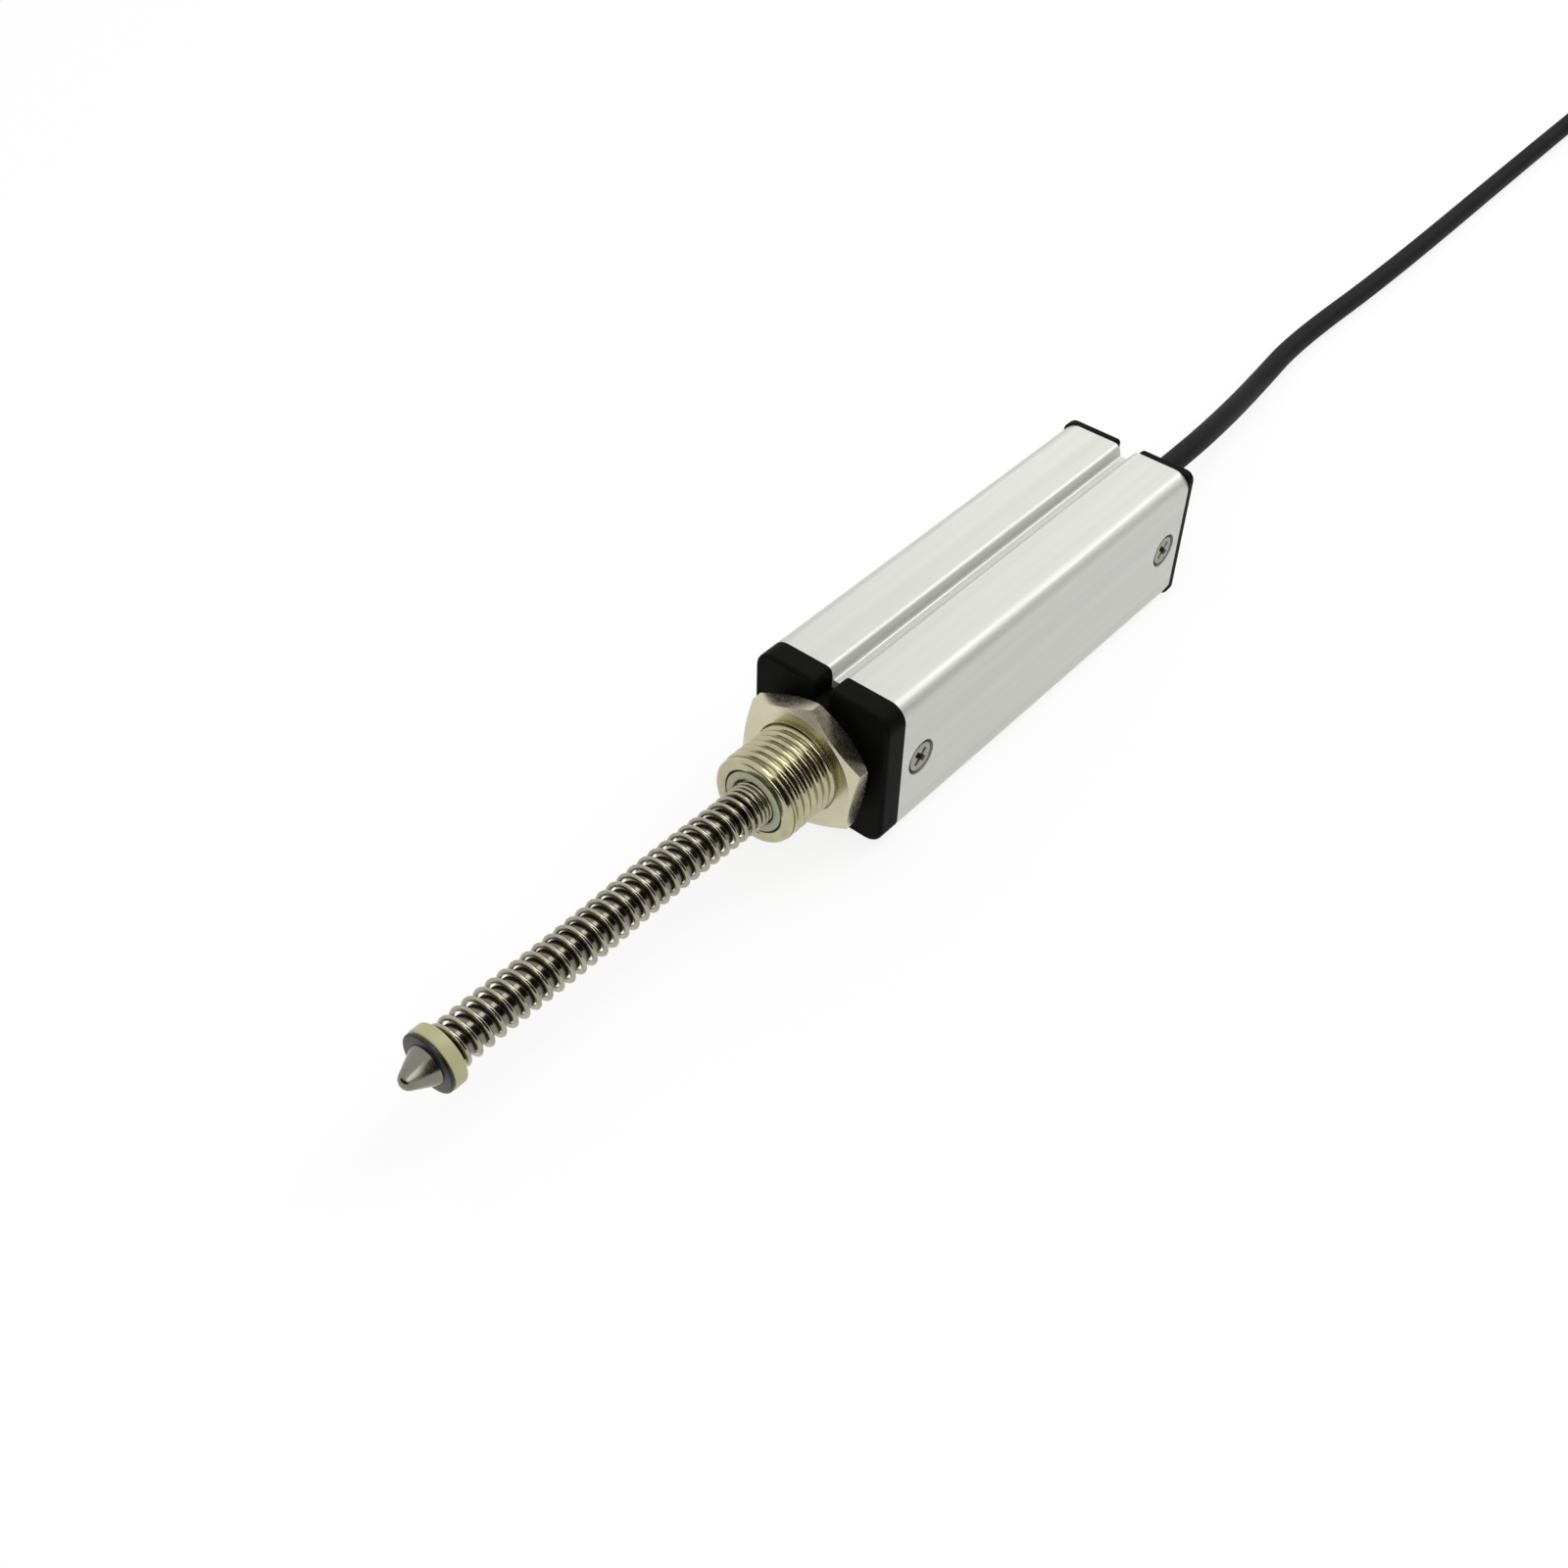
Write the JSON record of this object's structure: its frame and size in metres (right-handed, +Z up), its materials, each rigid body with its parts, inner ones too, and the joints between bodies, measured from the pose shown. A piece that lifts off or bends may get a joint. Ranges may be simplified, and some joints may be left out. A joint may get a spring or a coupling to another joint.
{
  "type": "spring-return linear potentiometer",
  "caption": "Square aluminium linear potentiometer with a threaded nose, lock nut, spring-loaded plunger with a cone tip, and a thin cable out of the rear cap.",
  "frame": {"origin": "centre of the housing profile's flat bottom face", "axes": "+X along the rod towards the contact tip, +Z up through the slotted top face, +Y to the side whose screws the picture shows"},
  "size_m": [0.3417, 0.0246, 0.017],
  "materials": {
    "anodised_aluminium": "drawn, lightly brushed along its length, clear anodised",
    "black_plastic": "moulded glass-filled polyamide, black",
    "nickel_brass": "nickel plated, polished",
    "screw_steel": "zinc plated",
    "bush_polymer": "pale filled sliding polymer",
    "washer_polymer": "olive-cream polymer ring",
    "spring_steel": "bright spring steel wire",
    "black_steel": "blackened steel",
    "rod_steel": "ground stainless steel",
    "black_rubber": "matte",
    "cable_sheath": "matte black sheath",
    "tie_plastic": "black tie",
    "board_laminate": "glass-fibre laminate",
    "carbon_ink": "screen-printed conductive plastic",
    "silver_ink": "screen-printed conductor",
    "tinned_copper": "tinned",
    "wiper_bronze": "sprung contact alloy",
    "clamp_brass": "plain crimp ring",
    "carriage_polymer": "natural acetal",
    "brown_insulation": "lead insulation",
    "black_insulation": "lead insulation",
    "blue_insulation": "lead insulation"
  },
  "bodies": {
    "sensor": {"housing_profile": "anodised_aluminium", "front_cap": "black_plastic", "rear_cap": "black_plastic", "front_cap_screws": "screw_steel", "rear_cap_screws": "screw_steel", "nose_bushing": "nickel_brass", "lock_nut": "nickel_brass", "guide_bush": "bush_polymer", "rod_seal": "black_rubber", "front_bumper": "black_rubber", "rear_bumper": "black_rubber", "return_spring": "spring_steel", "track_board": "board_laminate", "resistive_track": "carbon_ink", "collector_track": "silver_ink", "solder_terminals": "tinned_copper", "lead_brown": "brown_insulation", "lead_black": "black_insulation", "lead_blue": "blue_insulation", "cable_grommet": "black_rubber", "cable_clamp": "clamp_brass", "cable": "cable_sheath", "cable_hank": "cable_sheath", "hank_ties": "tie_plastic", "cable_tail": "cable_sheath", "core_brown": "brown_insulation", "core_black": "black_insulation", "core_blue": "blue_insulation", "core_ends": "tinned_copper"},
    "plunger": {"plunger_rod": "rod_steel", "carriage": "carriage_polymer", "wiper_contact": "wiper_bronze", "retaining_clip": "spring_steel", "spring_washer": "washer_polymer", "tip_disc": "black_steel", "contact_tip": "rod_steel"}
  },
  "joints": [
    {"name": "plunger_slide", "type": "slide", "parent": "sensor", "child": "plunger", "axis": [1, 0, 0], "range_m": [-0.025, 0], "stiffness_N_per_m": 250, "springref_m": 0.006, "deforming": ["return_spring"]}
  ]
}
